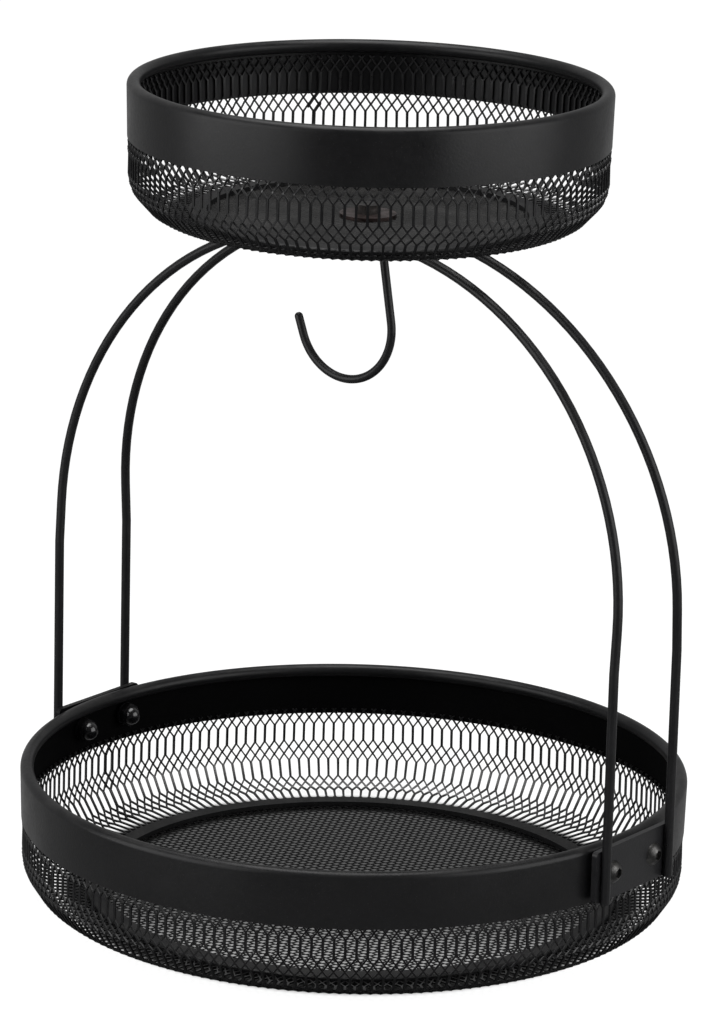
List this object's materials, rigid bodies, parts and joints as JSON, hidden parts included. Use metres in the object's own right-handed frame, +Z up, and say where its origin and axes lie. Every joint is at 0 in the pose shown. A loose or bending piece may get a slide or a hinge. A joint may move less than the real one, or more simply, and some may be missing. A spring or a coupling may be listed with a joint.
{
  "type": "two-tier fruit bowl with banana hanger",
  "caption": "Two round mesh bowls, a wide one on the table and a small one on wire arches above it, with a wire hook for bananas under the small bowl.",
  "frame": {"origin": "middle of the base, on the table", "axes": "+X along the arches towards the right bracket, +Y to the rear, +Z up"},
  "size_m": [0.3134, 0.3, 0.372],
  "materials": {
    "black_enamel": "satin black powder coat",
    "black_mesh": "satin black powder coat on expanded sheet",
    "black_ring": "satin black powder coat, slightly worn",
    "black_wire": "satin black powder coat on drawn wire",
    "black_nut": "glossy black plate",
    "dark_steel": "dark zinc plate with a brown cast"
  },
  "bodies": {
    "root": {"lower_rim_band": "black_enamel", "lower_mesh_wall": "black_mesh", "lower_base_ring": "black_ring", "lower_foot_ring": "black_enamel", "lower_floor_mesh": "black_mesh", "upper_rim_band": "black_enamel", "upper_mesh_wall": "black_mesh", "upper_base_ring": "black_ring", "upper_foot_ring": "black_enamel", "upper_floor_mesh": "black_mesh", "front_wire_arch": "black_wire", "rear_wire_arch": "black_wire", "left_bracket_plate": "black_enamel", "right_bracket_plate": "black_enamel", "crown_plate": "black_enamel", "left_front_screw": "dark_steel", "left_rear_screw": "dark_steel", "right_front_screw": "dark_steel", "right_rear_screw": "dark_steel", "left_front_washer": "black_nut", "left_rear_washer": "black_nut", "right_front_washer": "black_nut", "right_rear_washer": "black_nut", "left_front_dome_nut": "black_nut", "left_rear_dome_nut": "black_nut", "right_front_dome_nut": "black_nut", "right_rear_dome_nut": "black_nut", "centre_bolt": "dark_steel", "centre_washer": "dark_steel", "centre_nut": "dark_steel", "banana_hook": "black_wire"}
  },
  "joints": []
}
